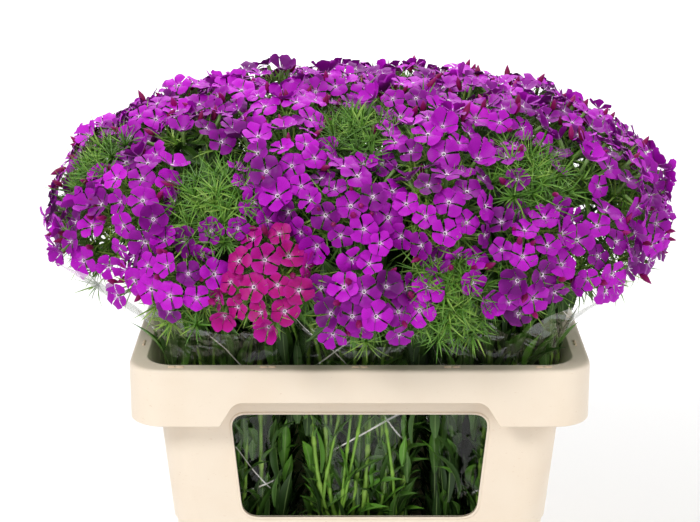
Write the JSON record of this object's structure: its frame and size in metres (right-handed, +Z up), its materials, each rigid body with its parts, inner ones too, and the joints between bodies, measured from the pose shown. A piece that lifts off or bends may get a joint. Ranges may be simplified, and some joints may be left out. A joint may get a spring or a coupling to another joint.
{
  "type": "bucket of cut flowers",
  "caption": "Rectangular moulded trade bucket with windows under its rim, holding sleeved bunches of cut dianthus: domed purple flower heads over green stems and leaves.",
  "frame": {"origin": "Middle of the bucket's underside, on the surface that it stands on.", "axes": "+Z up. +X along the bucket's long side. -Y towards the picture's camera, square to the long wall with the window."},
  "size_m": [0.58, 0.4576, 0.579],
  "materials": {
    "bucket": "cream moulded plastic, slightly scuffed",
    "film": "clear glossy film",
    "water": "still water",
    "foliage": "satin leaves and stems",
    "petals": "matte petals"
  },
  "bodies": {
    "root": {"bucket": "bucket", "flower_head_1": "petals", "flower_head_2": "petals", "flower_head_3": "petals", "flower_head_4": "petals", "flower_head_5": "petals", "flower_head_6": "petals", "flower_head_7": "petals", "flower_head_9": "petals", "flower_head_10": "petals", "flower_head_11": "petals", "flower_head_12": "petals", "flower_head_13": "petals", "flower_head_14": "petals", "flower_head_15": "petals", "flower_head_16": "petals", "flower_head_18": "petals", "flower_head_19": "petals", "flower_head_20": "petals", "flower_head_21": "petals", "flower_head_23": "petals", "flower_head_25": "petals", "flower_head_27": "petals", "flower_head_28": "petals", "flower_head_29": "petals", "flower_head_30": "petals", "flower_head_32": "petals", "flower_head_34": "petals", "flower_head_35": "petals", "flower_head_36": "petals", "flower_head_37": "petals", "flower_head_38": "petals", "flower_head_39": "petals", "flower_head_40": "petals", "flower_head_42": "petals", "flower_head_44": "petals", "flower_head_45": "petals", "flower_head_46": "petals", "flower_head_47": "petals", "flower_head_49": "petals", "flower_head_51": "petals", "flower_head_52": "petals", "flower_head_53": "petals", "flower_head_54": "petals", "greenery_1": "foliage", "greenery_2": "foliage", "greenery_3": "foliage", "greenery_4": "foliage", "greenery_5": "foliage", "greenery_6": "foliage", "sleeve_1": "film", "sleeve_2": "film", "sleeve_3": "film", "sleeve_4": "film", "sleeve_5": "film", "sleeve_6": "film", "water": "water"}
  },
  "joints": []
}
